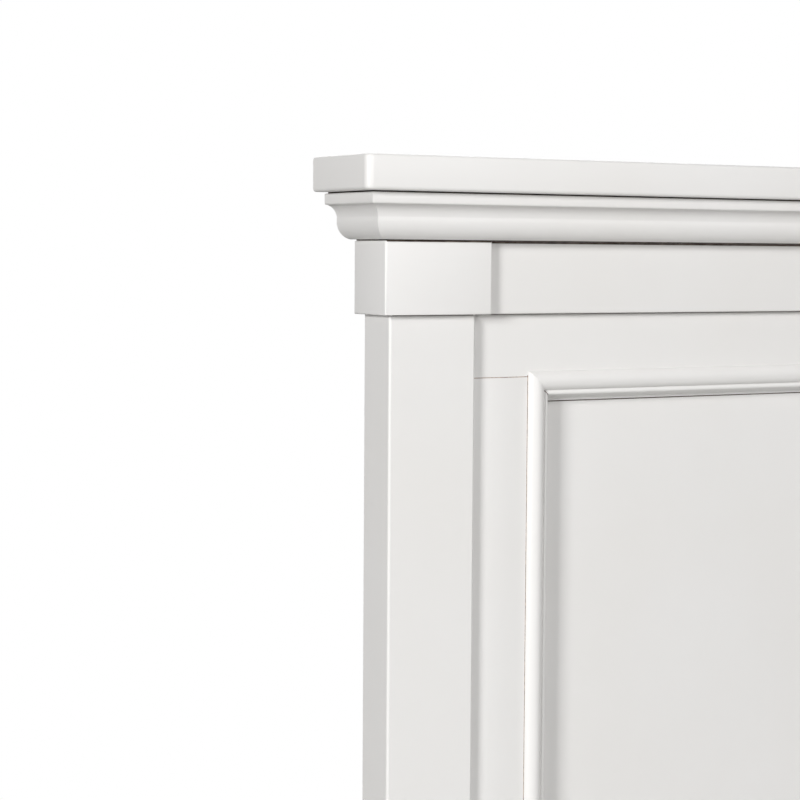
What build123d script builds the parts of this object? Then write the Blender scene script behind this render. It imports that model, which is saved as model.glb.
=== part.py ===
from build123d import *
import os

os.makedirs("parts", exist_ok=True)

# Panelled bed headboard with corner posts, frieze, cornice and cap board. Millimetres.
# X runs across the bed, the face looks towards -Y, Z is up. The origin is on the floor,
# under the middle of the outline.

# overall
overall_height = 1450.0
width_over_posts = 1600.0

# corner posts
post_width = 77.0
post_depth = 40.0
post_edge = 2.0
post_foot_edge = 1.2

# cap board
cap_thickness = 26.4
cap_overhang = 45.0
cap_corner = 6.0
cap_edge = 2.6

# cornice moulding, sizes from the face of the post
crown_height = 36.7
crown_projection = 35.0
crown_fillet = 8.2
crown_fillet_edge = 1.5
crown_waist = 24.3
crown_waist_height = 17.8
crown_cove_mid = (26.9, 23.4)
crown_ovolo_mid = (22.9, 8.2)
crown_foot = 12.2

# capital blocks under the cornice
capital_height = 56.5
capital_thickness = 9.0
capital_edge = 1.5

# panelled frame between the posts
frame_thickness = 23.0
face_setback = 9.0
rail_show = 50.0
stile_width = 59.0
mullion_width = 65.0
bottom_rail_height = 120.0
bottom_rail_level = 480.0
frame_edge = 0.8
panel_count = 3
panel_setback = 17.0
rebate_width = 9.0
panel_clearance = 1.0

# bolection moulding round each panel: u runs from its outer edge, v from the frame's face
mould_width = 25.0
mould_lap = 4.0
mould_lip = 1.2
torus_crest = (7.0, 5.8)
torus_end = (15.1, 1.2)
bead_mid = (18.2, 0.9)
bead_end = (19.5, -1.2)
cove_mid = (20.7, -8.4)
cove_end = (23.2, -14.0)

# battens behind the frame
batten_height = 60.0
batten_screw_count = 6
batten_screw_length = 25.0
batten_head_depth = 2.4

# dowels
dowel_radius = 4.0
dowel_length = 60.0
dowel_play = 0.05
top_rail_dowels = (46.0, 80.0, 114.0)
bottom_rail_dowels = (22.0, 58.0)
cap_dowel_length = 34.0
cap_dowel_count = 7

# bed-rail hook plates, let in flush on the face of each post
plate_width = 20.0
plate_height = 140.0
plate_thickness = 2.5
plate_centre = 300.0
slot_width = 5.0
slot_height = 24.0
slot_spacing = 60.0
slot_pocket_depth = 14.0
screw_spacing = 116.0
screw_shank = 2.0
screw_head = 4.0
screw_length = 30.0

# bolt holes for a metal bed frame
bolt_hole_radius = 4.5
bolt_levels = (110.0, 186.0)

# levelling glides
pad_radius = 15.0
pad_height = 6.0
foot_gap = 0.5
stem_radius = 4.0
stem_length = 30.0
insert_outer = 6.5
insert_inner = 4.05
insert_length = 24.0
stem_bore_depth = 46.0

# levels and planes that follow from the sizes above
half_width = width_over_posts / 2
half_depth = (post_depth + cap_overhang) / 2
back = half_depth
post_front = back - post_depth
post_middle = post_front + post_depth / 2
frame_front = post_front + face_setback
frame_back = frame_front + frame_thickness
frame_middle = frame_front + frame_thickness / 2
cap_level = overall_height - cap_thickness
crown_level = cap_level - crown_height
capital_level = crown_level - capital_height
rail_level = capital_level - rail_show
bottom_rail_top = bottom_rail_level + bottom_rail_height
post_foot = pad_height + foot_gap
post_inside = half_width - post_width
inner_width = 2 * post_inside
opening_height = rail_level - bottom_rail_top
opening_width = (inner_width - 2 * stile_width - (panel_count - 1) * mullion_width) / panel_count
opening_pitch = opening_width + mullion_width
opening_centres = [opening_pitch * (i - (panel_count - 1) / 2) for i in range(panel_count)]
panel_front = frame_front + panel_setback
panel_names = ["left", "centre", "right"]
sides = (("left", -1), ("right", 1))


def block(x0, x1, y0, y1, z0, z1):
    """A box between two corners."""
    solid = Box(x1 - x0, y1 - y0, z1 - z0)
    return Pos((x0 + x1) / 2, (y0 + y1) / 2, (z0 + z1) / 2) * solid


def rod_x(x0, x1, y, z, radius):
    """A round rod along X."""
    return Pos((x0 + x1) / 2, y, z) * Rot(0, 90, 0) * Cylinder(radius, x1 - x0)


def rod_y(x, y0, y1, z, radius):
    """A round rod along Y."""
    return Pos(x, (y0 + y1) / 2, z) * Rot(90, 0, 0) * Cylinder(radius, y1 - y0)


def rod_z(x, y, z0, z1, radius):
    """A round rod along Z."""
    return Pos(x, y, (z0 + z1) / 2) * Cylinder(radius, z1 - z0)


def save(shape, name):
    """Write one piece to its own file."""
    shape.label = name
    export_step(shape, "parts/" + name + ".step")


def mirrored(solid, side):
    """The left-hand piece as it is, or its mirror image for the right-hand side."""
    if side < 0:
        return solid
    return mirror(solid, about=Plane.YZ)


# ---- dowels ------------------------------------------------------------------

rail_dowel_levels = [rail_level + rise for rise in top_rail_dowels]
rail_dowel_levels += [bottom_rail_level + rise for rise in bottom_rail_dowels]
stile_dowel_spots = []
for x_edge, member_width in (
    [(-post_inside, stile_width)]
    + [(centre + opening_width / 2, mullion_width) for centre in opening_centres[:-1]]
    + [(post_inside - stile_width, stile_width)]
):
    stile_dowel_spots.append(x_edge + member_width * 0.3)
    stile_dowel_spots.append(x_edge + member_width * 0.7)
cap_dowel_spots = [
    -half_width + post_width / 2 + i * (width_over_posts - post_width) / (cap_dowel_count - 1)
    for i in range(cap_dowel_count)
]


def rail_dowels(x_joint, play=0.0):
    """Dowels along X that join both rails to a post at x_joint."""
    half = dowel_length / 2 + play
    return [
        rod_x(x_joint - half, x_joint + half, frame_middle, z, dowel_radius + play)
        for z in rail_dowel_levels
    ]


def stile_dowels(play=0.0):
    """Upright dowels between the rails and the stiles and mullions."""
    half = dowel_length / 2 + play
    rods = []
    for z in (bottom_rail_top, rail_level):
        for x in stile_dowel_spots:
            rods.append(rod_z(x, frame_middle, z - half, z + half, dowel_radius + play))
    return rods


def cap_dowels(play=0.0):
    """Upright dowels that hold the cap board on the posts and the top rail."""
    half = cap_dowel_length / 2 + play
    return [
        rod_z(x, post_middle, cap_level - half, cap_level + half, dowel_radius + play)
        for x in cap_dowel_spots
    ]


# ---- countersunk screws --------------------------------------------------------

def screw_y(x, y, z, way, length, head_depth, play=0.0):
    """A countersunk screw along Y: its head's face is at y and it runs away from it, way being 1 or -1."""
    head = Cone(screw_head + play, screw_shank + play, head_depth)
    head = Pos(x, y + way * head_depth / 2, z) * Rot(-90 * way, 0, 0) * head
    ends = sorted((y + way * head_depth, y + way * (length + play)))
    return head + rod_y(x, ends[0], ends[1], z, screw_shank + play)


def batten_screws(level, play=0.0):
    """The row of screws that holds the batten whose lower edge is at this level."""
    spots = [inner_width * ((i + 0.5) / batten_screw_count - 0.5) for i in range(batten_screw_count)]
    return [
        screw_y(x, back, level + batten_height / 2, -1, batten_screw_length, batten_head_depth, play)
        for x in spots
    ]


batten_levels = (("top", cap_level - batten_height), ("bottom", bottom_rail_level))

# ---- posts -------------------------------------------------------------------

def plate_slots(depth, length_extra=0.0, width_extra=0.0):
    """Two upright hook slots, cut from the face of the left post to a depth."""
    x = -half_width + post_width / 2
    cuts = []
    for z in (plate_centre - slot_spacing / 2, plate_centre + slot_spacing / 2):
        half_slot = slot_width / 2 + width_extra
        half_height = slot_height / 2 + length_extra
        cuts.append(block(x - half_slot, x + half_slot, post_front, post_front + depth,
                          z - half_height, z + half_height))
    return cuts


def plate_screws(play=0.0):
    """Two countersunk screws that hold the hook plate in the left post."""
    x = -half_width + post_width / 2
    return [
        screw_y(x, post_front, z, 1, screw_length, plate_thickness, play)
        for z in (plate_centre - screw_spacing / 2, plate_centre + screw_spacing / 2)
    ]


def hook_plate():
    """Steel plate with two hook slots and two countersunk holes, for the left post."""
    x = -half_width + post_width / 2
    plate = block(x - plate_width / 2, x + plate_width / 2, post_front, post_front + plate_thickness,
                  plate_centre - plate_height / 2, plate_centre + plate_height / 2)
    plate = fillet(plate.edges().filter_by(Axis.Y), plate_width / 2 - 0.5)
    for cut in plate_slots(plate_thickness) + plate_screws(dowel_play):
        plate = plate - cut
    return plate


def post():
    """Left corner post, from its foot to the underside of the cap board."""
    x_middle = -half_width + post_width / 2
    body = block(-half_width, -post_inside, post_front, back, post_foot, cap_level)
    body = fillet(body.edges().filter_by(Axis.Z), post_edge)
    body = chamfer(body.faces().sort_by(Axis.Z)[0].edges(), post_foot_edge)
    mortise = block(x_middle - plate_width / 2, x_middle + plate_width / 2, post_front,
                    post_front + plate_thickness,
                    plate_centre - plate_height / 2, plate_centre + plate_height / 2)
    body = body - fillet(mortise.edges().filter_by(Axis.Y), plate_width / 2 - 0.5)
    cuts = plate_slots(slot_pocket_depth, 2.0, 2.0) + plate_screws(dowel_play)
    cuts += rail_dowels(-post_inside, dowel_play)
    cuts += [rod_y(x_middle, post_front, back, z, bolt_hole_radius) for z in bolt_levels]
    cuts.append(rod_z(x_middle, post_middle, post_foot, post_foot + insert_length, insert_outer))
    cuts.append(rod_z(x_middle, post_middle, post_foot, post_foot + stem_bore_depth, insert_inner + 0.5))
    cuts.append(cap_dowels(dowel_play)[0])
    for cut in cuts:
        body = body - cut
    return body


left_post = post()
left_plate = hook_plate()
left_screws = Compound(plate_screws())
for side_name, side in sides:
    save(mirrored(left_post, side), "post_" + side_name)
    save(mirrored(left_plate, side), "hook_plate_" + side_name)
    save(mirrored(left_screws, side), "hook_plate_screws_" + side_name)
    save(Compound(rail_dowels(side * post_inside)), "rail_dowels_" + side_name)

# ---- rails, stiles, mullions and panels ---------------------------------------

def frame_member(x0, x1, z0, z1):
    """One square-edged board of the frame."""
    return block(x0, x1, frame_front, frame_back, z0, z1)


def panel_space(centre):
    """The rebate that one panel is let into from behind."""
    half = opening_width / 2 + rebate_width
    return block(centre - half, centre + half, panel_front, frame_back,
                 bottom_rail_top - rebate_width, rail_level + rebate_width)


frame_cuts = [panel_space(centre) for centre in opening_centres]
frame_cuts += rail_dowels(-post_inside, dowel_play) + rail_dowels(post_inside, dowel_play)
frame_cuts += stile_dowels(dowel_play) + cap_dowels(dowel_play)
for batten_name, batten_level in batten_levels:
    frame_cuts += batten_screws(batten_level, dowel_play)


def framed(x0, x1, z0, z1):
    """A board of the frame with its rebates and dowel holes."""
    member = frame_member(x0, x1, z0, z1)
    reach = rebate_width + dowel_length
    for cut in frame_cuts:
        low, high = cut.bounding_box().min, cut.bounding_box().max
        if high.X > x0 - reach and low.X < x1 + reach and high.Z > z0 and low.Z < z1:
            member = member - cut
    return member


save(framed(-post_inside, post_inside, rail_level, cap_level), "top_rail")
save(framed(-post_inside, post_inside, bottom_rail_level, bottom_rail_top), "bottom_rail")
save(framed(-post_inside, -post_inside + stile_width, bottom_rail_top, rail_level), "stile_left")
save(framed(post_inside - stile_width, post_inside, bottom_rail_top, rail_level), "stile_right")
for (mullion_name, side), centre in zip(sides, opening_centres[:-1]):
    x_edge = centre + opening_width / 2
    save(framed(x_edge, x_edge + mullion_width, bottom_rail_top, rail_level), "mullion_" + mullion_name)
save(Compound(stile_dowels()), "stile_dowels")

for panel_name, centre in zip(panel_names, opening_centres):
    half = opening_width / 2 + rebate_width - panel_clearance
    panel = block(centre - half, centre + half, panel_front, frame_back,
                  bottom_rail_top - rebate_width + panel_clearance,
                  rail_level + rebate_width - panel_clearance)
    save(panel, "panel_" + panel_name)

# ---- bolection mouldings -------------------------------------------------------

def moulding_section():
    """Cross-section of the moulding on XY: x is u, y is v, both in millimetres."""
    with BuildSketch() as section:
        with BuildLine():
            Polyline((0, mould_lip), (0, 0), (mould_lap, 0), (mould_lap, -panel_setback),
                     (mould_width, -panel_setback), (mould_width, cove_end[1]), cove_end)
            ThreePointArc(cove_end, cove_mid, bead_end)
            ThreePointArc(bead_end, bead_mid, torus_end)
            ThreePointArc(torus_end, torus_crest, (0, mould_lip))
        make_face()
    return section.sketch


moulding_face = moulding_section()


def moulding_length(centre, edge):
    """One mitred length on the edge 0 top, 1 right, 2 bottom or 3 left of an opening."""
    z_middle = (bottom_rail_top + rail_level) / 2
    half_w = opening_width / 2 + mould_lap
    half_h = opening_height / 2 + mould_lap
    half_along, half_across = (half_w, half_h) if edge % 2 == 0 else (half_h, half_w)
    # section plane: its x runs down into the opening and its y towards the viewer
    plane = Plane(origin=(half_along, 0, half_across), x_dir=(0, 0, -1), z_dir=(-1, 0, 0))
    length = extrude(plane * moulding_face, amount=2 * half_along)
    corner = half_across - half_along
    with BuildSketch(Plane.XZ) as mitre:
        with BuildLine():
            Polyline((-half_along, half_across), (half_along, half_across), (0, corner), close=True)
        make_face()
    length = length & extrude(mitre.sketch, amount=frame_thickness, both=True)
    length = Rot(0, 90 * edge, 0) * length
    return Pos(centre, frame_front, z_middle) * length


for panel_name, centre in zip(panel_names, opening_centres):
    for edge, edge_name in enumerate(("top", "right", "bottom", "left")):
        save(moulding_length(centre, edge), "moulding_" + panel_name + "_" + edge_name)

# ---- frieze, battens -----------------------------------------------------------

frieze = block(-post_inside, post_inside, post_front, frame_front, capital_level, cap_level)
frieze_front_edge = frieze.edges().filter_by(Axis.X).group_by(Axis.Z)[0].sort_by(Axis.Y)[0]
save(fillet(frieze_front_edge, frame_edge), "frieze_board")

for batten_name, batten_level in batten_levels:
    batten = block(-post_inside, post_inside, frame_back, back, batten_level, batten_level + batten_height)
    batten = chamfer(batten.edges().filter_by(Axis.X).group_by(Axis.Y)[-1], frame_edge)
    for screw_hole in batten_screws(batten_level, dowel_play):
        batten = batten - screw_hole
    save(batten, "back_batten_" + batten_name)
    save(Compound(batten_screws(batten_level)), "batten_screws_" + batten_name)

# ---- capitals ------------------------------------------------------------------

def mitre_wedge(front):
    """Everything on one side of the upright mitre plane through the left post's front corner."""
    reach = 2 * width_over_posts
    corner = (-half_width, post_front)
    outer = (corner[0] - reach, corner[1] - reach)
    side_corner = (outer[0], corner[1] + reach) if not front else (corner[0] + 2 * reach, outer[1])
    far = (corner[0] + 2 * reach, corner[1] + reach) if front else (corner[0], corner[1] + reach)
    with BuildSketch() as wedge:
        with BuildLine():
            Polyline(corner, outer, side_corner, far, close=True)
        make_face()
    return extrude(wedge.sketch, amount=overall_height)


front_wedge = mitre_wedge(True)
side_wedge = mitre_wedge(False)

capital_front = block(-half_width - capital_thickness, -post_inside + capital_thickness,
                      post_front - capital_thickness, post_front, capital_level, crown_level)
capital_front = fillet(capital_front.edges().group_by(Axis.Y)[0], capital_edge) & front_wedge
capital_side = block(-half_width - capital_thickness, -half_width,
                     post_front - capital_thickness, back, capital_level, crown_level)
capital_side = fillet(capital_side.edges().group_by(Axis.X)[0], capital_edge) & side_wedge
for side_name, side in sides:
    save(mirrored(capital_front, side), "capital_front_" + side_name)
    save(mirrored(capital_side, side), "capital_side_" + side_name)

# ---- cornice -------------------------------------------------------------------

def crown_section():
    """Cross-section of the cornice: x is the projection from the post, y the height."""
    fillet_foot = crown_height - crown_fillet
    with BuildSketch() as section:
        with BuildLine():
            Polyline((crown_waist, crown_waist_height), (crown_waist, crown_waist_height - 0.6))
            ThreePointArc((crown_waist, crown_waist_height - 0.6), crown_ovolo_mid, (crown_foot, 0))
            Polyline((crown_foot, 0), (0, 0), (0, crown_height), (crown_projection, crown_height),
                     (crown_projection, fillet_foot),
                     (crown_projection - crown_fillet_edge, fillet_foot - crown_fillet_edge))
            ThreePointArc((crown_projection - crown_fillet_edge, fillet_foot - crown_fillet_edge),
                          crown_cove_mid, (crown_waist, crown_waist_height))
        make_face()
    return section.sketch


crown_face = crown_section()
front_plane = Plane(origin=(half_width + cap_overhang, post_front, crown_level),
                    x_dir=(0, -1, 0), z_dir=(-1, 0, 0))
crown_front = extrude(front_plane * crown_face, amount=width_over_posts + 2 * cap_overhang)
crown_front = crown_front & front_wedge
crown_front = crown_front & mirror(front_wedge, about=Plane.YZ)
save(crown_front, "crown_front")

side_plane = Plane(origin=(-half_width, -half_depth, crown_level), x_dir=(-1, 0, 0), z_dir=(0, 1, 0))
crown_side = extrude(side_plane * crown_face, amount=post_depth + cap_overhang) & side_wedge
for side_name, side in sides:
    save(mirrored(crown_side, side), "crown_" + side_name)

# ---- cap board -----------------------------------------------------------------

cap = block(-half_width - cap_overhang, half_width + cap_overhang, -half_depth, back,
            cap_level, overall_height)
cap = fillet(cap.edges().filter_by(Axis.Z).group_by(Axis.Y)[0], cap_corner)
rim = [edge for edge in cap.edges()
       if edge.center().Y < back - 1 and abs(edge.tangent_at(0.5).Z) < 0.5]
cap = fillet(rim, cap_edge)
for dowel_hole in cap_dowels(dowel_play):
    cap = cap - dowel_hole
save(cap, "cap_board")
save(Compound(cap_dowels()), "cap_dowels")

# ---- levelling glides -----------------------------------------------------------

def glide_insert():
    """Threaded insert in the foot of the left post, drawn as a plain sleeve."""
    x = -half_width + post_width / 2
    sleeve = rod_z(x, post_middle, post_foot, post_foot + insert_length, insert_outer)
    return sleeve - rod_z(x, post_middle, post_foot, post_foot + insert_length, insert_inner)


def glide_stem():
    """Threaded stem, drawn as a plain rod."""
    x = -half_width + post_width / 2
    return rod_z(x, post_middle, pad_height, pad_height + stem_length, stem_radius)


def glide_pad():
    """Round moulded pad under the stem."""
    x = -half_width + post_width / 2
    pad = rod_z(x, post_middle, 0, pad_height, pad_radius)
    pad = fillet(pad.edges().group_by(Axis.Z)[0], 1.0)
    return fillet(pad.edges().group_by(Axis.Z)[-1], 2.0)


for side_name, side in sides:
    save(mirrored(glide_insert(), side), "glide_insert_" + side_name)
    save(mirrored(glide_stem(), side), "glide_stem_" + side_name)
    save(mirrored(glide_pad(), side), "glide_pad_" + side_name)

print("opening", round(opening_width, 2), "x", round(opening_height, 2))
print("levels", cap_level, crown_level, capital_level, rail_level)
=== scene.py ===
import math
import bmesh
import bpy
from mathutils import Matrix, Vector


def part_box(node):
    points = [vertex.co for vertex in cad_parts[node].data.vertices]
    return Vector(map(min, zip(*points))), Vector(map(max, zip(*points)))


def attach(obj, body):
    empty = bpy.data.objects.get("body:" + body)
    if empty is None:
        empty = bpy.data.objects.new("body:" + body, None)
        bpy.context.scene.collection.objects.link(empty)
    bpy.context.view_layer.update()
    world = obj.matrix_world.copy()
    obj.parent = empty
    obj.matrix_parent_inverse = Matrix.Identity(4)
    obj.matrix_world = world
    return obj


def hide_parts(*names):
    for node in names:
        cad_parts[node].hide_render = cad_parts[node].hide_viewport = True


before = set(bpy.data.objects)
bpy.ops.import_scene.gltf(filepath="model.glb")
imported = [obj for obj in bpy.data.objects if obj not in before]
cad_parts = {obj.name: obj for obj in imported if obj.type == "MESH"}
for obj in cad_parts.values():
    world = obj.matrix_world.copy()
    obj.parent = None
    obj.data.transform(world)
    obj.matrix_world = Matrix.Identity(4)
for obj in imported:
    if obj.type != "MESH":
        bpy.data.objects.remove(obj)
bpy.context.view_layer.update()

mm = 0.001
samePlace = 1e-6  # two points closer than this are one
arcInset = 0.293  # the middle of a quarter round stands this many radii in from its corner

forward, leftward, rightward, backward, upward = (Vector(way) for way in (
    (0, -1, 0), (-1, 0, 0), (1, 0, 0), (0, 1, 0), (0, 0, 1)))
east, west, north, south = (1, 0), (-1, 0), (0, 1), (0, -1)  # ways on a flat outline

# places read from the frame
capLow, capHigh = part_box("cap_board")
postLow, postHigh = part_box("post_left")
blockLow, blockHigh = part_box("capital_front_left")
crownLow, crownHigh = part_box("crown_front")
friezeLow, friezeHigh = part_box("frieze_board")
postFront = postLow.y
backPlane = postHigh.y
postOuter = -postLow.x
postInner = -postHigh.x
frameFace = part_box("top_rail")[0].y
print("frame loaded,", len(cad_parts), "nodes")


def linearColour(hexCode):
    parts = [int(hexCode[i:i + 2], 16) / 255 for i in (1, 3, 5)]
    return tuple(c / 12.92 if c <= 0.04045 else ((c + 0.055) / 1.055) ** 2.4 for c in parts) + (1.0,)


def threePointArc(start, through, end, steps):
    # points along the circle through three places on an outline
    ax, ay = start
    bx, by = through
    cx, cy = end
    d = 2 * (ax * (by - cy) + bx * (cy - ay) + cx * (ay - by))
    a2, b2, c2 = ax * ax + ay * ay, bx * bx + by * by, cx * cx + cy * cy
    ox = (a2 * (by - cy) + b2 * (cy - ay) + c2 * (ay - by)) / d
    oy = (a2 * (cx - bx) + b2 * (ax - cx) + c2 * (bx - ax)) / d
    radius = math.hypot(ax - ox, ay - oy)
    first = math.atan2(ay - oy, ax - ox)
    turnOne = (math.atan2(by - oy, bx - ox) - first + math.pi) % (2 * math.pi) - math.pi
    second = first + turnOne
    turnTwo = (math.atan2(cy - oy, cx - ox) - second + math.pi) % (2 * math.pi) - math.pi
    sweep = turnOne + turnTwo
    turns = [first + sweep * k / steps for k in range(steps + 1)]
    return [(ox + radius * math.cos(turn), oy + radius * math.sin(turn)) for turn in turns]


def quarterRound(corner, back, on, radius, steps):
    # rounds a corner of an outline that comes in from back and goes off along on
    x, y = corner
    inset = arcInset * radius
    return threePointArc((x + back[0] * radius, y + back[1] * radius),
                         (x + (back[0] + on[0]) * inset, y + (back[1] + on[1]) * inset),
                         (x + on[0] * radius, y + on[1] * radius), steps)


def putPiece(bm, name, body, material, replaced=(), sharpAngle=38.0):
    # merges, turns the faces outwards, marks the sharp edges and hands the mesh to its body
    bmesh.ops.remove_doubles(bm, verts=bm.verts, dist=samePlace)
    bmesh.ops.recalc_face_normals(bm, faces=bm.faces)
    for face in bm.faces:
        face.smooth = True
    for edge in bm.edges:
        if len(edge.link_faces) == 2 and edge.calc_face_angle(0.0) > math.radians(sharpAngle):
            edge.smooth = False
    mesh = bpy.data.meshes.new(name)
    bm.to_mesh(mesh)
    bm.free()
    piece = bpy.data.objects.new(name, mesh)
    bpy.context.scene.collection.objects.link(piece)
    mesh.materials.append(material)
    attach(piece, body)
    if replaced:
        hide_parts(*replaced)
    return piece


def boxMesh(first, second):
    # a box between any two opposite corners
    bm = bmesh.new()
    bmesh.ops.create_cube(bm, size=1.0)
    first, second = Vector(first), Vector(second)
    bmesh.ops.scale(bm, vec=[abs(size) for size in second - first], verts=bm.verts)
    bmesh.ops.translate(bm, vec=(first + second) / 2, verts=bm.verts)
    return bm


def roundEdges(bm, edges, radius, segments):
    bmesh.ops.bevel(bm, geom=edges, offset=radius, offset_type="OFFSET", affect="EDGES", segments=segments,
                    profile=0.5, material=-1, clamp_overlap=True)


def isLevel(edge):
    return abs(edge.verts[0].co.z - edge.verts[1].co.z) < samePlace


def sweptLength(section, origin, across, out, along, length):
    # a closed section, drawn at origin and pulled out along its length
    bm = bmesh.new()
    corners = [bm.verts.new(origin + across * u + out * v) for u, v in section]
    face = bm.faces.new(corners)
    pulled = bmesh.ops.extrude_face_region(bm, geom=[face])
    moved = [item for item in pulled["geom"] if isinstance(item, bmesh.types.BMVert)]
    bmesh.ops.translate(bm, vec=along * length, verts=moved)
    return bm


def sawOff(bm, point, normal):
    # cuts away what lies on the normal's side, and closes the cut
    cut = bmesh.ops.bisect_plane(bm, geom=bm.verts[:] + bm.edges[:] + bm.faces[:], dist=1e-7,
                                 plane_co=point, plane_no=normal, clear_outer=True)
    rim = [item for item in cut["geom_cut"] if isinstance(item, bmesh.types.BMEdge)]
    bmesh.ops.holes_fill(bm, edges=rim, sides=0)


def sawCornerMitre(bm, side, part):
    # the mitre at a post's outer front corner: side is -1 at the left and 1 at the right
    way = Vector((side, 1, 0)).normalized()
    sawOff(bm, Vector((side * postOuter, postFront, 0)), way if part == "front" else -way)


def joinMesh(target, part):
    # moves everything in part into target
    scrap = bpy.data.meshes.new("scrap")
    part.to_mesh(scrap)
    part.free()
    target.from_mesh(scrap)
    bpy.data.meshes.remove(scrap)


def spun(bm, profile, centre, axis, side, steps):
    # turns a profile of (radius, height) once round the axis
    corners = [bm.verts.new(centre + side * radius + axis * height) for radius, height in profile]
    edges = [bm.edges.new(pair) for pair in zip(corners, corners[1:])]
    bmesh.ops.spin(bm, geom=corners + edges, cent=centre, axis=axis, dvec=(0, 0, 0), angle=2 * math.pi,
                   steps=steps, use_merge=True, use_duplicate=False)
    bmesh.ops.remove_doubles(bm, verts=bm.verts, dist=samePlace)


def addNode(tree, kind, settings=None, links=None):
    node = tree.nodes.new(kind)
    for key, value in (settings or {}).items():
        if key in node.inputs:
            node.inputs[key].default_value = value
        else:
            setattr(node, key, value)
    for key, source in (links or {}).items():
        tree.links.new(source, node.inputs[key])
    return node


def newMaterial(name):
    material = bpy.data.materials.new(name)
    material.use_nodes = True
    material.node_tree.nodes.clear()
    return material, material.node_tree


lacquer = {
    "colours": ("#ECEBEA", "#E7E5E2"),
    "roughness": (0.36, 0.44),
    "ior": 1.5,
    "cloudSize": 160 * mm,
    "cloudDetail": 2.0,
    "grainLength": 60 * mm,
    "grainWidth": 1.6 * mm,  # wider than real close grain, so that a trace of it shows
    "grainDetail": 3.0,
    "grainBreak": 0.6,
    "grainDepth": 0.012 * mm,
    "peelSize": 1.4 * mm,
    "peelDetail": 1.0,
    "peelDepth": 0.010 * mm,
}


def satinLacquer(name, grainAxis):
    # sprayed off-white lacquer on close-grained wood: soft gloss, faint orange peel, a trace of grain under it
    material, tree = newMaterial(name)
    place = addNode(tree, "ShaderNodeTexCoord").outputs["Object"]
    stretch = [1 / lacquer["grainWidth"]] * 3
    stretch["xyz".index(grainAxis)] = 1 / lacquer["grainLength"]
    grainPlace = addNode(tree, "ShaderNodeMapping", {"Scale": stretch}, {"Vector": place}).outputs["Vector"]
    cloud = addNode(tree, "ShaderNodeTexNoise",
                    {"Scale": 1 / lacquer["cloudSize"], "Detail": lacquer["cloudDetail"]},
                    {"Vector": place}).outputs["Fac"]
    grain = addNode(tree, "ShaderNodeTexNoise",
                    {"Scale": 1.0, "Detail": lacquer["grainDetail"], "Roughness": lacquer["grainBreak"]},
                    {"Vector": grainPlace}).outputs["Fac"]
    peel = addNode(tree, "ShaderNodeTexNoise",
                   {"Scale": 1 / lacquer["peelSize"], "Detail": lacquer["peelDetail"]},
                   {"Vector": place}).outputs["Fac"]
    tint = addNode(tree, "ShaderNodeMix", {"data_type": "RGBA"}, {"Factor": cloud})
    tint.inputs[6].default_value, tint.inputs[7].default_value = map(linearColour, lacquer["colours"])
    low, high = lacquer["roughness"]
    gloss = addNode(tree, "ShaderNodeMapRange", {"To Min": low, "To Max": high}, {"Value": cloud})
    grainBump = addNode(tree, "ShaderNodeBump", {"Distance": lacquer["grainDepth"]}, {"Height": grain})
    peelBump = addNode(tree, "ShaderNodeBump", {"Distance": lacquer["peelDepth"]},
                       {"Height": peel, "Normal": grainBump.outputs["Normal"]})
    skin = addNode(tree, "ShaderNodeBsdfPrincipled", {"IOR": lacquer["ior"]},
                   {"Base Color": tint.outputs[2], "Roughness": gloss.outputs["Result"],
                    "Normal": peelBump.outputs["Normal"]})
    addNode(tree, "ShaderNodeOutputMaterial", links={"Surface": skin.outputs["BSDF"]})
    return material


lacquerLevel = satinLacquer("satinLacquerLevelGrain", "x")
lacquerUpright = satinLacquer("satinLacquerUprightGrain", "z")

mottling = {
    "contrast": (0.35, 0.65),
    "break": 0.6,
    "reliefDetail": 2.0,
}


def twoTone(name, look):
    # a mottle between two colours, with roughness following it and a fine relief of its own
    material, tree = newMaterial(name)
    place = addNode(tree, "ShaderNodeTexCoord").outputs["Object"]
    spread = addNode(tree, "ShaderNodeMapping", {"Scale": look.get("stretch", (1, 1, 1))},
                     {"Vector": place}).outputs["Vector"]
    mottle = addNode(tree, "ShaderNodeTexNoise",
                     {"Scale": 1 / look["mottle"], "Detail": look["detail"], "Roughness": mottling["break"]},
                     {"Vector": spread}).outputs["Fac"]
    fromMin, fromMax = mottling["contrast"]
    sharper = addNode(tree, "ShaderNodeMapRange", {"From Min": fromMin, "From Max": fromMax}, {"Value": mottle})
    tint = addNode(tree, "ShaderNodeMix", {"data_type": "RGBA"}, {"Factor": sharper.outputs["Result"]})
    tint.inputs[6].default_value, tint.inputs[7].default_value = map(linearColour, look["colours"])
    low, high = look["roughness"]
    gloss = addNode(tree, "ShaderNodeMapRange", {"To Min": low, "To Max": high}, {"Value": mottle})
    fine = addNode(tree, "ShaderNodeTexNoise",
                   {"Scale": 1 / look["reliefSize"], "Detail": mottling["reliefDetail"]},
                   {"Vector": place}).outputs["Fac"]
    bump = addNode(tree, "ShaderNodeBump", {"Distance": look["relief"]}, {"Height": fine})
    skin = addNode(tree, "ShaderNodeBsdfPrincipled", {"Metallic": look.get("metallic", 0.0)},
                   {"Base Color": tint.outputs[2], "Roughness": gloss.outputs["Result"],
                    "Normal": bump.outputs["Normal"]})
    addNode(tree, "ShaderNodeOutputMaterial", links={"Surface": skin.outputs["BSDF"]})
    return material


# unpainted wood and old glue in a joint: dry red-brown with paler specks, only ever a thin broken line
bareSeamLook = {
    "colours": ("#6B4636", "#B79A86"),
    "mottle": 2.5 * mm,
    "detail": 3.0,
    "roughness": (0.8, 0.9),
    "reliefSize": 0.6 * mm,
    "relief": 0.02 * mm,
}
bareSeam = twoTone("bareSeam", bareSeamLook)

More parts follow.
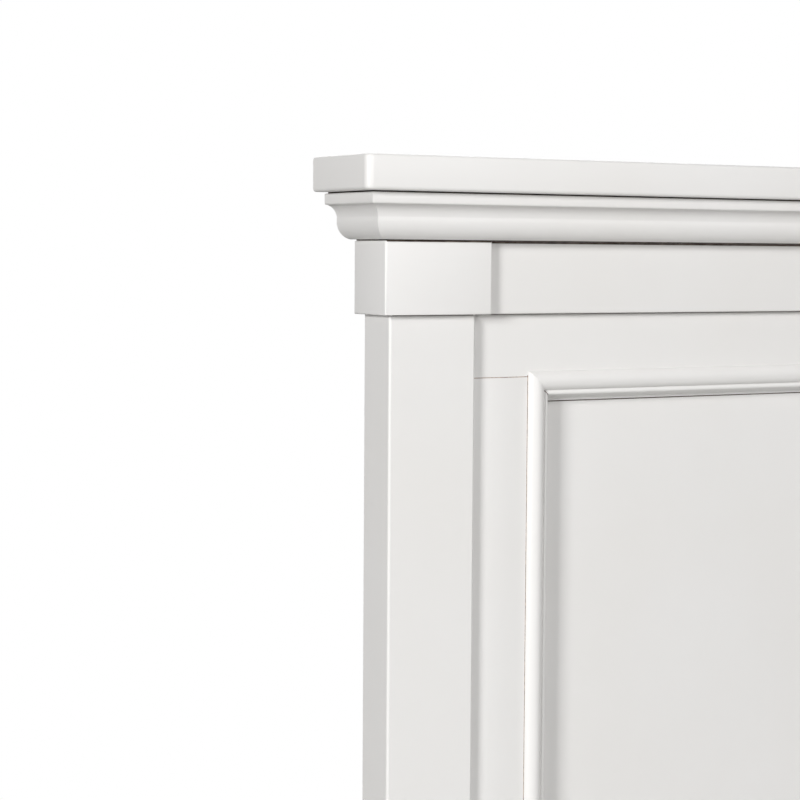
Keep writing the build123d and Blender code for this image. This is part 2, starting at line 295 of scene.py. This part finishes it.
# painted shade: a matt grey-brown line set where the joints lie deep in shade, a little uneven along its length
jointShadeLook = {
    "colours": ("#4F443E", "#756860"),
    "mottle": 9.0 * mm,
    "detail": 2.0,
    "roughness": (0.85, 0.95),
    "reliefSize": 0.6 * mm,
    "relief": 0.02 * mm,
}
paintedJointShade = twoTone("paintedJointShade", jointShadeLook)

# fluted beech dowel, raw: warm straw with a darker grain drawn out along its length
beechLook = {
    "colours": ("#D9B78C", "#B98F62"),
    "stretch": (0.12, 1, 1),
    "mottle": 1.4 * mm,
    "detail": 4.0,
    "roughness": (0.62, 0.75),
    "reliefSize": 0.35 * mm,
    "relief": 0.02 * mm,
}
beechDowel = twoTone("beechDowel", beechLook)

# bright zinc plate: cool grey with a faint cloudy bloom that moves with the light
zincLook = {
    "colours": ("#C4C6C8", "#9A9DA2"),
    "mottle": 3.0 * mm,
    "detail": 3.0,
    "roughness": (0.26, 0.44),
    "metallic": 1.0,
    "reliefSize": 0.5 * mm,
    "relief": 0.006 * mm,
}
zincPlate = twoTone("zincPlate", zincLook)

# machined brass gone slightly dull: yellow with browner patches
brassLook = {
    "colours": ("#C9A24E", "#9C7A38"),
    "mottle": 2.2 * mm,
    "detail": 3.0,
    "roughness": (0.22, 0.40),
    "metallic": 1.0,
    "reliefSize": 0.3 * mm,
    "relief": 0.004 * mm,
}
dullBrass = twoTone("dullBrass", brassLook)

# moulded black nylon: soft dark sheen, paler where it rubs
nylonLook = {
    "colours": ("#1E1E1F", "#2B2B2C"),
    "mottle": 4.0 * mm,
    "detail": 3.0,
    "roughness": (0.45, 0.65),
    "reliefSize": 0.4 * mm,
    "relief": 0.02 * mm,
}
nylonPad = twoTone("nylonPad", nylonLook)

for nodeName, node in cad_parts.items():
    finish = lacquerUpright if nodeName.startswith(("post", "panel")) else lacquerLevel
    finish = beechDowel if "dowels" in nodeName else finish
    finish = zincPlate if "hook_plate" in nodeName else finish
    finish = dullBrass if "insert" in nodeName else finish
    node.data.materials.clear()
    node.data.materials.append(finish)
print("materials made")

cornice = {
    "projection": 35.0 * mm,
    "filletHeight": 8.2 * mm,
    "filletEase": 1.5 * mm,
    "filletSteps": 4,
    "undercut": 0.8 * mm,
    "waist": (24.3 * mm, 17.8 * mm),
    "coveMid": (26.9 * mm, 23.4 * mm),
    "coveSteps": 20,
    "ovoloMid": (22.9 * mm, 8.2 * mm),
    "ovoloSteps": 16,
    "foot": (12.2 * mm, 0.9 * mm),
    "step": 0.6 * mm,  # the small drop between cove and ovolo
    "gapAbove": 1.1 * mm,  # the shadow line under the cap
    "gapDeep": 9.0 * mm,
    "touch": 7.0 * mm,  # where its foot rests on the blocks
    "topEase": 0.6 * mm,
    "topSteps": 3,
    "spare": 5.0 * mm,  # extra length, sawn off at the mitres
}


def corniceSection():
    # u runs out from the post's face, v up from the block's top
    full = crownHigh.z - crownLow.z
    high, low = full - cornice["gapAbove"], full - cornice["filletHeight"]
    far, ease = cornice["projection"], cornice["filletEase"]
    inside = far - cornice["gapDeep"]
    touch, waist, foot = cornice["touch"], cornice["waist"], cornice["foot"]
    section = [(touch, foot[1]), (touch, 0.0), (0.0, 0.0), (0.0, full), (inside, full), (inside, high)]
    section += quarterRound((far, high), west, south, cornice["topEase"], cornice["topSteps"])
    section += quarterRound((far, low - ease), north, west, ease, cornice["filletSteps"])
    section += threePointArc((far - ease - cornice["undercut"], low - ease), cornice["coveMid"], waist,
                             cornice["coveSteps"])
    section += threePointArc((waist[0], waist[1] - cornice["step"]), cornice["ovoloMid"], foot,
                             cornice["ovoloSteps"])
    return section


corniceOutline = corniceSection()
reach = cornice["projection"] + cornice["spare"]

corner = Vector((-postOuter, postFront, crownLow.z))
bm = sweptLength(corniceOutline, corner + leftward * reach, forward, upward, rightward, 2 * (postOuter + reach))
for side in (-1, 1):
    sawCornerMitre(bm, side, "front")
putPiece(bm, "corniceFront", "headboard", lacquerLevel, ["crown_front"])
for side, sideName in ((-1, "left"), (1, "right")):
    corner = Vector((side * postOuter, postFront, crownLow.z))
    bm = sweptLength(corniceOutline, corner + forward * reach, rightward * side, upward, backward,
                     backPlane - postFront + reach)
    sawCornerMitre(bm, side, "side")
    putPiece(bm, "cornice" + sideName.title(), "headboard", lacquerLevel,
             ["crown_" + sideName])
print("cornice made")

capShape = {
    "cornerRadius": 6.0 * mm,
    "cornerSteps": 12,
    "rimRadius": 2.6 * mm,
    "rimSteps": 5,
    "sharpAngle": 50.0,
}
bm = boxMesh(capLow, capHigh)
frontCorners = [edge for edge in bm.edges if all(v.co.y < 0 for v in edge.verts) and not isLevel(edge)]
roundEdges(bm, frontCorners, capShape["cornerRadius"], capShape["cornerSteps"])
rim = [edge for edge in bm.edges if isLevel(edge)
       and min(v.co.y for v in edge.verts) < backPlane - samePlace]  # its rear edges stay square
roundEdges(bm, rim, capShape["rimRadius"], capShape["rimSteps"])
putPiece(bm, "capBoard", "headboard", lacquerLevel, ["cap_board"], capShape["sharpAngle"])
print("cap made")

capitalShape = {
    "edgeRadius": 1.3 * mm,
    "edgeSteps": 5,
}
for side, sideName in ((-1, "left"), (1, "right")):
    for part, faceWay in (("front", forward), ("side", rightward * side)):
        bm = boxMesh(*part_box("capital_" + part + "_" + sideName))
        outerFace = [face for face in bm.faces if face.normal.dot(faceWay) > 0.9][0]
        roundEdges(bm, list(outerFace.edges), capitalShape["edgeRadius"], capitalShape["edgeSteps"])
        sawCornerMitre(bm, side, part)
        putPiece(bm, "capital" + part.title() + sideName.title(), "headboard", lacquerUpright,
                 ["capital_" + part + "_" + sideName])
print("capitals made")

frieze = {
    "edgeRadius": 1.4 * mm,
    "edgeSteps": 5,
}
bm = boxMesh(friezeLow, friezeHigh)
lowerEdge = [edge for edge in bm.edges
             if all(abs(v.co.z - friezeLow.z) < samePlace and abs(v.co.y - friezeLow.y) < samePlace
                    for v in edge.verts)]
roundEdges(bm, lowerEdge, frieze["edgeRadius"], frieze["edgeSteps"])
putPiece(bm, "friezeBoard", "headboard", lacquerLevel, ["frieze_board"])
print("frieze made")

board = {
    "edgeEase": 0.45 * mm,
    "edgeSteps": 3,
    "rebate": 9.0 * mm,
    "panelSetback": 17.0 * mm,
    "seam": 0.55 * mm,
    "seamFilled": 0.95,  # the share of the seam that old glue fills
    "glueInset": 0.3 * mm,
    "glueFront": 0.06 * mm,
    "glueBack": 5.0 * mm,
}


def uprightBoard(name, node, rebates):
    # a stile or mullion: eased front corners, a rebate behind for each panel it carries
    low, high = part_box(node)
    wide, thick, ease, steps = high.x - low.x, high.y - low.y, board["edgeEase"], board["edgeSteps"]
    shelf = thick - board["panelSetback"]
    left, right = (board["rebate"] if side in rebates else 0.0 for side in ("left", "right"))
    section = [(wide - right, 0.0), (left, 0.0)]
    section += [(left, shelf), (0.0, shelf)] if left else []
    section += quarterRound((0.0, thick), south, east, ease, steps)
    section += quarterRound((wide, thick), west, south, ease, steps)
    section += [(wide, shelf), (wide - right, shelf)] if right else []
    origin = Vector((low.x, high.y, low.z + board["seam"]))
    bm = sweptLength(section, origin, rightward, forward, upward, high.z - low.z - 2 * board["seam"])
    putPiece(bm, name, "headboard", lacquerUpright, [node])
    return low, high


uprights = [uprightBoard("stileLeft", "stile_left", ["right"]),
            uprightBoard("stileRight", "stile_right", ["left"]),
            uprightBoard("mullionLeft", "mullion_left", ["left", "right"]),
            uprightBoard("mullionRight", "mullion_right", ["left", "right"])]

glueLine = bmesh.new()
filled = board["seam"] * board["seamFilled"]
glueFront, glueBack = frameFace + board["glueFront"], frameFace + board["glueBack"]
for low, high in uprights:
    for level in (low.z, high.z):
        joinMesh(glueLine, boxMesh((low.x + board["glueInset"], glueFront, level - filled),
                                   (high.x - board["glueInset"], glueBack, level + filled)))
putPiece(glueLine, "jointGlueLines", "headboard", bareSeam)
print("stiles and mullions made")

moulding = {
    "width": 25.0 * mm,
    "lap": 4.1 * mm,  # how far it laps over the stile
    "lip": 1.2 * mm,
    "lift": 0.22 * mm,  # leaves a hairline where the moulding meets the stile
    "torusCrest": (7.0 * mm, 5.8 * mm),
    "torusEnd": (15.1 * mm, 1.2 * mm),
    "torusSteps": 26,
    "quirkDepth": 0.9 * mm,
    "quirkFlanks": (0.08 * mm, 0.05 * mm),
    "beadStart": (16.3 * mm, 0.7 * mm),
    "beadMid": (18.2 * mm, 0.9 * mm),
    "beadEnd": (19.5 * mm, -1.2 * mm),
    "beadSteps": 10,
    "coveMid": (20.7 * mm, -8.4 * mm),
    "coveEnd": (23.2 * mm, -14.0 * mm),
    "coveSteps": 16,
    "lipEase": 0.5 * mm,
    "lipSteps": 3,
}
# sizes of the painted shade in the mitres and under each top lip, and of the hairlines beside the upright
# lengths
shadeAndHairlines = {
    "mitreShadeThickness": 0.4 * mm,
    "mitreFrom": 15.15 * mm,  # painted shade covers only the inner part of each mitre
    "lipHigh": 1.3 * mm,  # the painted shadow line under the top length's lip
    "lipOver": 0.3 * mm,
    "lipClear": 1.0 * mm,
    "lipProud": 0.06 * mm,
    "hairWide": 0.35 * mm,  # the line beside each upright length
    "hairOver": 0.3 * mm,
    "hairClear": 3.0 * mm,
    "hairProud": 0.05 * mm,
    "buried": 0.5 * mm,
}


def mouldingSection():
    # u runs from the outer edge into the opening, v out from the frame's face
    deep, width, lap, lift = -board["panelSetback"], moulding["width"], moulding["lap"], moulding["lift"]
    torusEnd, beadStart, beadEnd = moulding["torusEnd"], moulding["beadStart"], moulding["beadEnd"]
    quirkFloor = torusEnd[1] - moulding["quirkDepth"]
    outerFlank, innerFlank = moulding["quirkFlanks"]
    section = [(lap, lift), (0.0, lift)]
    section += threePointArc((0.0, moulding["lip"]), moulding["torusCrest"], torusEnd, moulding["torusSteps"])
    section += [(torusEnd[0] + outerFlank, quirkFloor), (beadStart[0] - innerFlank, quirkFloor)]
    section += threePointArc(beadStart, moulding["beadMid"], beadEnd, moulding["beadSteps"])
    section += threePointArc(beadEnd, moulding["coveMid"], moulding["coveEnd"], moulding["coveSteps"])[1:]
    section += quarterRound((width, moulding["coveEnd"][1]), west, south, moulding["lipEase"],
                            moulding["lipSteps"])
    section += [(width, deep), (lap, deep)]
    return section


mouldingOutline = mouldingSection()


def mitreShadePlate(origin, along, across):
    # a thin dark plate in a mitre, standing just proud of the bead and cove: painted shade along the mitre's
    # inner line
    gap, start = shadeAndHairlines["mitreShadeThickness"], shadeAndHairlines["mitreFrom"]
    edge, inner, deep = moulding["width"] + gap, moulding["coveEnd"][1], -board["panelSetback"]
    plate = [(u, v + gap) for u, v in mouldingOutline if u > start and v > inner - gap]
    plate += [(edge, inner + gap), (edge, deep), (start, deep)]
    diagonal = (across + along).normalized()
    thickWay = diagonal.cross(forward)
    slanted = [(u * math.sqrt(2), v) for u, v in plate]
    return sweptLength(slanted, origin - thickWay * gap / 2, diagonal, forward, thickWay, gap)


def lipShadowStrip(origin, along, across, length):
    # a dark strip of painted shadow; lies on the panel, just under the moulding's inner lip
    inside, over = moulding["width"] + shadeAndHairlines["lipClear"], moulding["width"] - shadeAndHairlines["lipOver"]
    start = origin + along * inside + across * over + backward * board["panelSetback"]
    end = start + along * (length - 2 * inside) + across * shadeAndHairlines["lipHigh"]
    return boxMesh(start + forward * shadeAndHairlines["lipProud"], end + backward * shadeAndHairlines["buried"])


def edgeHairline(origin, along, across, length):
    # lies on the stile, just outside the moulding's outer edge
    clear = shadeAndHairlines["hairClear"]
    start = origin + along * clear - across * shadeAndHairlines["hairWide"] + forward * shadeAndHairlines["hairProud"]
    end = origin + along * (length - clear) + across * shadeAndHairlines["hairOver"] + backward * shadeAndHairlines["buried"]
    return boxMesh(start, end)


# the dark plates in the mitres and the dark strips under the top lips are painted shade
mitreAndLipShade = bmesh.new()
hairlines = bmesh.new()
for side in ("left", "centre", "right"):
    boxes = {edge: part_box("moulding_" + side + "_" + edge) for edge in ("top", "right", "bottom", "left")}
    x0, x1 = boxes["top"][0].x, boxes["top"][1].x
    z0, z1 = boxes["bottom"][0].z, boxes["top"][1].z
    runs = {
        "top": (Vector((x0, frameFace, z1)), rightward, -upward, x1 - x0),
        "right": (Vector((x1, frameFace, z1)), -upward, leftward, z1 - z0),
        "bottom": (Vector((x1, frameFace, z0)), leftward, upward, x1 - x0),
        "left": (Vector((x0, frameFace, z0)), upward, rightward, z1 - z0),
    }
    for edge, (origin, along, across, length) in runs.items():
        bm = sweptLength(mouldingOutline, origin, across, forward, along, length)
        sawOff(bm, origin, (across - along).normalized())
        sawOff(bm, origin + along * length, (across + along).normalized())
        finish = lacquerLevel if edge in ("top", "bottom") else lacquerUpright
        putPiece(bm, "moulding" + side.title() + edge.title(), "headboard", finish,
                 ["moulding_" + side + "_" + edge])
        joinMesh(mitreAndLipShade, mitreShadePlate(origin, along, across))
        if edge == "top":
            joinMesh(mitreAndLipShade, lipShadowStrip(origin, along, across, length))
        if edge in ("left", "right"):
            joinMesh(hairlines, edgeHairline(origin, along, across, length))
putPiece(mitreAndLipShade, "mitreAndLipPaintedShade", "headboard", paintedJointShade)
putPiece(hairlines, "mouldingHairlines", "headboard", bareSeam)
print("mouldings made")

# the dark lines below are painted shade in the joints under the cap, the cornice, the frieze and the blocks
joint = {
    "capGapInset": 3.0 * mm,
    "underBlock": 0.8 * mm,
    "underCrown": 1.4 * mm,
    "overBlock": 0.8 * mm,
    "postInset": 2.2 * mm,
    "proud": 0.06 * mm,
    "buried": 0.8 * mm,
}
jointShadeLines = bmesh.new()
proud, buried = joint["proud"], joint["buried"]


def shadeRing(out, low, high):
    # a dark band of painted shade round the front and both sides, standing out from the posts
    front, end = postFront - out, postOuter + out
    joinMesh(jointShadeLines, boxMesh((-end, front, low), (end, front + buried, high)))
    for side in (-1, 1):
        joinMesh(jointShadeLines, boxMesh((side * end, front, low), (side * (end - buried), backPlane, high)))


def shadeStrip(start, end, face, low, high):
    # a dark strip of painted shade let into a front face
    joinMesh(jointShadeLines, boxMesh((start, face - proud, low), (end, face + buried, high)))


# painted shade under the cornice's foot, in the gap under the cap, under the frieze, under the cornice on the
# frieze and blocks, and under the blocks on the posts
shadeRing(cornice["touch"] + proud, crownLow.z, crownLow.z + cornice["foot"][1])
shadeRing(cornice["projection"] - joint["capGapInset"], crownHigh.z - cornice["gapAbove"], crownHigh.z)
shadeStrip(-postInner, postInner, frameFace, friezeLow.z - joint["underBlock"], friezeLow.z)
shadeStrip(blockHigh.x, -blockHigh.x, friezeLow.y, crownLow.z - joint["underCrown"], crownLow.z)
for side in (-1, 1):
    over, under, inset = joint["overBlock"], joint["underBlock"], joint["postInset"]
    shadeStrip(side * (blockLow.x + over), side * (blockHigh.x - over), blockLow.y,
              crownLow.z - over, crownLow.z)
    shadeStrip(side * (postOuter - inset), side * (postInner + inset), postFront, blockLow.z - under, blockLow.z)
putPiece(jointShadeLines, "paintedJointShadeLines", "headboard", paintedJointShade)
print("joint lines made")


def looseBoxes(node):
    # the box of each separate solid in a CAD node
    bm = bmesh.new()
    bm.from_mesh(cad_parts[node].data)
    bmesh.ops.remove_doubles(bm, verts=bm.verts, dist=1e-5)
    waiting, boxes = set(bm.verts), []
    while waiting:
        island, edgeOfIsland = set(), [waiting.pop()]
        while edgeOfIsland:
            vert = edgeOfIsland.pop()
            island.add(vert)
            near = {edge.other_vert(vert) for edge in vert.link_edges} - island
            waiting -= near
            edgeOfIsland += near
        places = [vert.co for vert in island]
        boxes.append((Vector(map(min, zip(*places))), Vector(map(max, zip(*places)))))
    bm.free()
    return sorted(boxes, key=lambda box: tuple(box[0]))


screw = {
    "headEase": 0.25 * mm,
    "headDepth": 2.4 * mm,
    "shank": 1.9 * mm,
    "threadDepth": 0.45 * mm,
    "pitch": 1.6 * mm,
    "rootShares": (0.35, 0.5, 0.85),  # where each turn leaves the crest, meets the root and leaves it
    "point": 4.0 * mm,
    "armLength": 2.2 * mm,
    "armHalf": 0.45 * mm,
    "recess": 1.3 * mm,
    "recessTaper": 0.6,
    "steps": 32,
    "sharpAngle": 30.0,
}


def crossScrew(centre, inward, headRadius, length):
    # a countersunk cross-recess screw: centre is the middle of its flat head
    bm = bmesh.new()
    side = inward.orthogonal().normalized()
    other = inward.cross(side)
    shank, pitch, taper = screw["shank"], screw["pitch"], screw["recessTaper"]
    root = shank - screw["threadDepth"]
    ease, headDepth = screw["headEase"], screw["headDepth"]
    profile = [(headRadius - ease, 0.0), (headRadius, ease), (shank, headDepth)]
    leaveCrest, meetRoot, leaveRoot = screw["rootShares"]
    for turn in range(int((length - headDepth - screw["point"]) / pitch)):
        start = headDepth + turn * pitch
        profile += [(shank, start + leaveCrest * pitch), (root, start + meetRoot * pitch),
                    (root, start + leaveRoot * pitch), (shank, start + pitch)]
    profile += [(0.0, length)]
    spun(bm, profile, centre, inward, side, screw["steps"])
    arm, half = screw["armLength"], screw["armHalf"]
    outline = [(half, half), (half, arm), (-half, arm), (-half, half), (-arm, half), (-arm, -half),
               (-half, -half), (-half, -arm), (half, -arm), (half, -half), (arm, -half), (arm, half)]
    top = [bm.verts.new(centre + side * x + other * y) for x, y in outline]
    floor = [bm.verts.new(centre + side * x * taper + other * y * taper + inward * screw["recess"])
             for x, y in outline]
    for k in range(len(outline)):
        after = (k + 1) % len(outline)
        bm.faces.new([top[k], top[after], floor[after], floor[k]])
    bm.faces.new(floor)
    bm.edges.ensure_lookup_table()
    openEdges = [edge for edge in bm.edges if len(edge.link_faces) == 1]
    bmesh.ops.triangle_fill(bm, edges=openEdges, use_beauty=True)
    return bm


for node, pieceName, way in (("hook_plate_screws_left", "hookScrewsLeft", backward),
                             ("hook_plate_screws_right", "hookScrewsRight", backward),
                             ("batten_screws_top", "battenScrewsTop", forward),
                             ("batten_screws_bottom", "battenScrewsBottom", forward)):
    bm = bmesh.new()
    for low, high in looseBoxes(node):
        middle = (low + high) / 2
        middle.y = low.y if way.y > 0 else high.y
        joinMesh(bm, crossScrew(middle, way, (high.x - low.x) / 2, high.y - low.y))
    putPiece(bm, pieceName, "headboard", zincPlate, [node], screw["sharpAngle"])
print("screws made")

glide = {
    "padEase": 1.2 * mm,
    "padEaseSteps": 6,
    "padDish": 0.5 * mm,
    "dishSlope": 1.0 * mm,
    "neck": 5.5 * mm,
    "threadPitch": 1.25 * mm,
    "threadDepth": 0.55 * mm,
    "threadShares": (0.12, 0.44, 0.56, 0.88),  # where a turn leaves the root, crests, and returns
    "steps": 72,
    "sharpAngle": 25.0,
}
for side in ("left", "right"):
    low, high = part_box("glide_pad_" + side)
    centre = Vector(((low.x + high.x) / 2, (low.y + high.y) / 2, low.z))
    radius, tall, soft = (high.x - low.x) / 2, high.z - low.z, glide["padEase"]
    neck, dish = glide["neck"], tall - glide["padDish"]
    outline = [(0.0, 0.0)] + quarterRound((radius, 0.0), west, north, soft, glide["padEaseSteps"])
    outline += quarterRound((radius, tall), south, west, soft, glide["padEaseSteps"])
    outline += [(neck + glide["dishSlope"], tall), (neck, dish), (0.0, dish)]
    bm = bmesh.new()
    spun(bm, outline, centre, upward, rightward, glide["steps"])
    putPiece(bm, "glidePad" + side.title(), "glide_" + side, nylonPad, ["glide_pad_" + side])
    low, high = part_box("glide_stem_" + side)
    centre.z = low.z
    crest, tall = (high.x - low.x) / 2, high.z - low.z
    root = crest - glide["threadDepth"]
    outline = [(0.0, 0.0), (root, 0.0)]
    turns = int(tall / glide["threadPitch"])
    step = tall / turns
    for turn in range(turns):
        outline += [(away, turn * step + share * step)
                    for away, share in zip((root, crest, crest, root), glide["threadShares"])]
    outline += [(root, tall), (0.0, tall)]
    bm = bmesh.new()
    spun(bm, outline, centre, upward, rightward, glide["steps"])
    putPiece(bm, "glideStem" + side.title(), "glide_" + side, zincPlate, ["glide_stem_" + side],
             glide["sharpAngle"])
print("glides made")

studio = {
    "floorRadius": 2.6,
    "floorSegments": 160,
    "floorColour": "#C4C3C1",
    "floorRoughness": 0.9,
    "skyHeights": (-0.15, 0.7),
    "skyLight": (0.01, 0.30),  # from below to above
    "backdrop": 1.0,
    "aimInside": 0.12,  # the lamps face a place this far in from the left post's side
}
lamps = {
    "keyLight": {"turn": 59.0, "rise": 10.0, "distance": 4.2, "size": 0.85, "power": 132.0},
    "fillLight": {"turn": -6.0, "rise": 17.0, "distance": 3.6, "size": 1.8, "power": 60.0},
    "backLight": {"turn": -152.0, "rise": 32.0, "distance": 3.4, "size": 1.8, "power": 34.0},
}

floorMaterial, floorTree = newMaterial("matteStudioFloor")
floorSkin = addNode(floorTree, "ShaderNodeBsdfPrincipled",
                    {"Base Color": linearColour(studio["floorColour"]), "Roughness": studio["floorRoughness"]})
addNode(floorTree, "ShaderNodeOutputMaterial", links={"Surface": floorSkin.outputs["BSDF"]})
floorMesh = bmesh.new()
bmesh.ops.create_circle(floorMesh, cap_ends=True, segments=studio["floorSegments"],
                        radius=studio["floorRadius"])
floorData = bpy.data.meshes.new("studioFloor")
floorMesh.to_mesh(floorData)
floorMesh.free()
floorData.materials.append(floorMaterial)
studioFloor = bpy.data.objects.new("studioFloor", floorData)
bpy.context.scene.collection.objects.link(studioFloor)


def softBox(name, turn, rise, distance, size, power):
    # a square lamp facing the left capital; turn and rise are in degrees, distance and size in metres
    light = bpy.data.lights.new(name, "AREA")
    light.shape = "SQUARE"
    light.size = size
    light.energy = power
    lamp = bpy.data.objects.new(name, light)
    turn, rise = math.radians(turn), math.radians(rise)
    way = Vector((-math.sin(turn) * math.cos(rise), -math.cos(turn) * math.cos(rise), math.sin(rise)))
    lamp.location = Vector((-postOuter + studio["aimInside"], postFront, blockLow.z)) + way * distance
    lamp.rotation_euler = way.to_track_quat("Z", "Y").to_euler()
    bpy.context.scene.collection.objects.link(lamp)


for lampName, settings in lamps.items():
    softBox(lampName, **settings)

world = bpy.data.worlds.new("whiteStudio")
bpy.context.scene.world = world
world.use_nodes = True
world.node_tree.nodes.clear()
skyTree = world.node_tree
seen = addNode(skyTree, "ShaderNodeLightPath").outputs["Is Camera Ray"]
height = addNode(skyTree, "ShaderNodeSeparateXYZ",
                 links={"Vector": addNode(skyTree, "ShaderNodeTexCoord").outputs["Generated"]}).outputs["Z"]
fall = addNode(skyTree, "ShaderNodeMapRange",
               {"From Min": studio["skyHeights"][0], "From Max": studio["skyHeights"][1],
                "To Min": studio["skyLight"][0], "To Max": studio["skyLight"][1]}, {"Value": height})
glow = addNode(skyTree, "ShaderNodeBackground", {"Color": (1, 1, 1, 1)}, {"Strength": fall.outputs["Result"]})
backdrop = addNode(skyTree, "ShaderNodeBackground", {"Color": (1, 1, 1, 1), "Strength": studio["backdrop"]})
skyMix = addNode(skyTree, "ShaderNodeMixShader", links={"Fac": seen})
skyTree.links.new(glow.outputs["Background"], skyMix.inputs[1])
skyTree.links.new(backdrop.outputs["Background"], skyMix.inputs[2])
addNode(skyTree, "ShaderNodeOutputWorld", links={"Surface": skyMix.outputs["Shader"]})
bpy.context.scene.view_settings.view_transform = "Standard"

viewpoint = {
    "fromCorner": Vector((-810.2, -1415.8, 45.6)) * mm,  # from the left post's corner, at the block's foot
    "turn": 30.07,
    "tilt": -3.86,
    "roll": 0.36,
    "lens": 96.67,
    "sensorWidth": 36.0,
}


def placeCamera():
    turn, tilt, roll = (math.radians(viewpoint[key]) for key in ("turn", "tilt", "roll"))
    ahead = Vector((math.sin(turn) * math.cos(tilt), math.cos(turn) * math.cos(tilt), math.sin(tilt)))
    level = Vector((math.cos(turn), -math.sin(turn), 0.0))
    rise = level.cross(ahead)
    right = level * math.cos(roll) + rise * math.sin(roll)
    up = rise * math.cos(roll) - level * math.sin(roll)
    lensData = bpy.data.cameras.new("camera")
    lensData.lens = viewpoint["lens"]
    lensData.sensor_width = viewpoint["sensorWidth"]
    camera = bpy.data.objects.new("camera", lensData)
    turned = Matrix((right, up, -ahead)).transposed()
    corner = Vector((-postOuter, postFront, blockLow.z))
    camera.matrix_world = Matrix.Translation(corner + viewpoint["fromCorner"]) @ turned.to_4x4()
    bpy.context.scene.collection.objects.link(camera)
    bpy.context.scene.camera = camera


placeCamera()
print("floor, lights and camera placed")
